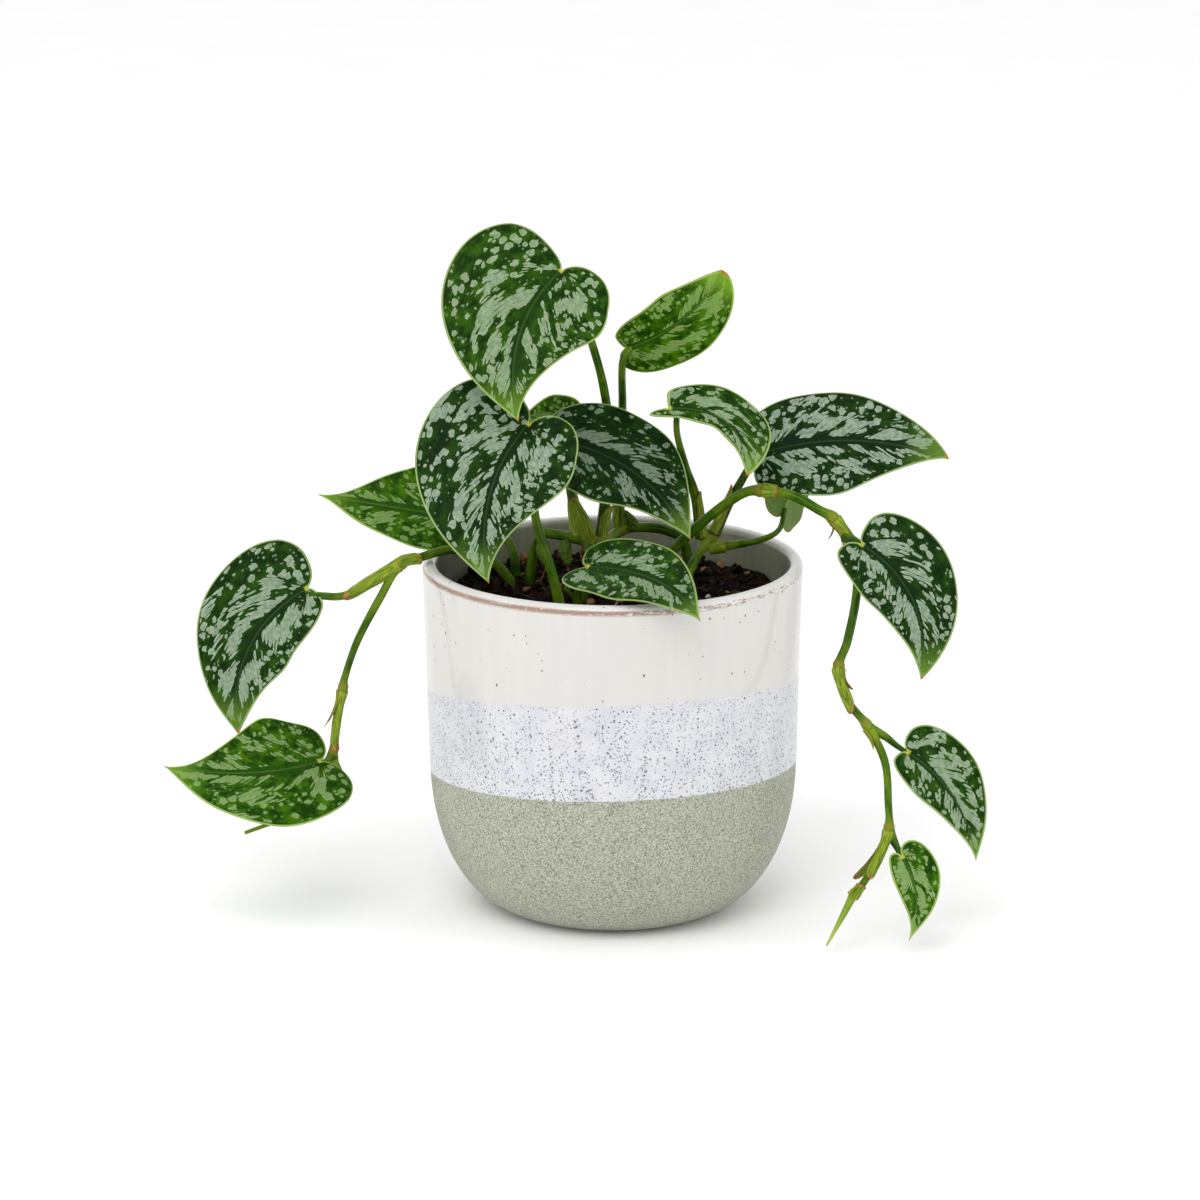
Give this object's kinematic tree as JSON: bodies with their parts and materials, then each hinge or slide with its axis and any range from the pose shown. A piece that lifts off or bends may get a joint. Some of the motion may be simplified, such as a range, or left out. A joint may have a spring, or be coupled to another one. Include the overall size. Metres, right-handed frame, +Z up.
{
  "type": "potted satin pothos",
  "caption": "Satin pothos with silver-splashed heart-shaped leaves, two trailing vines and a round ceramic pot in three glaze bands.",
  "frame": {"origin": "centre of the pot's flat foot, on the surface it stands on", "axes": "+Z up, +X towards the large leaves at the right, -Y the front, where one leaf crosses the lip"},
  "size_m": [0.2553, 0.1361, 0.2188],
  "materials": {
    "banded_glaze": "gloss",
    "bark_mix": "matte",
    "green_stem": "satin",
    "deep_blade": "satin",
    "fresh_blade": "satin"
  },
  "bodies": {
    "root": {"pot": "banded_glaze", "potting_mix": "bark_mix", "creeping_stem": "green_stem", "crown_stem": "green_stem", "right_vine": "green_stem", "left_vine": "green_stem", "furled_leaf": "fresh_blade", "petiole_high_left": "green_stem", "petiole_high_right": "green_stem", "petiole_mid_left": "green_stem", "petiole_behind": "green_stem", "petiole_centre": "green_stem", "petiole_left_green": "green_stem", "petiole_curled": "green_stem", "petiole_far_right": "green_stem", "petiole_young": "green_stem", "petiole_front": "green_stem", "petiole_drooping_right": "green_stem", "petiole_vine_third": "green_stem", "petiole_vine_fourth": "green_stem", "petiole_drooping_left": "green_stem", "petiole_lowest_left": "green_stem", "blade_high_left": "deep_blade", "blade_high_right": "fresh_blade", "blade_mid_left": "deep_blade", "blade_behind": "fresh_blade", "blade_centre": "deep_blade", "blade_curled": "deep_blade", "blade_far_right": "deep_blade", "blade_young": "fresh_blade", "blade_drooping_right": "deep_blade", "blade_vine_third": "deep_blade", "blade_vine_fourth": "fresh_blade", "blade_front": "deep_blade", "blade_left_green": "fresh_blade", "blade_drooping_left": "deep_blade", "blade_lowest_left": "fresh_blade"}
  },
  "joints": []
}
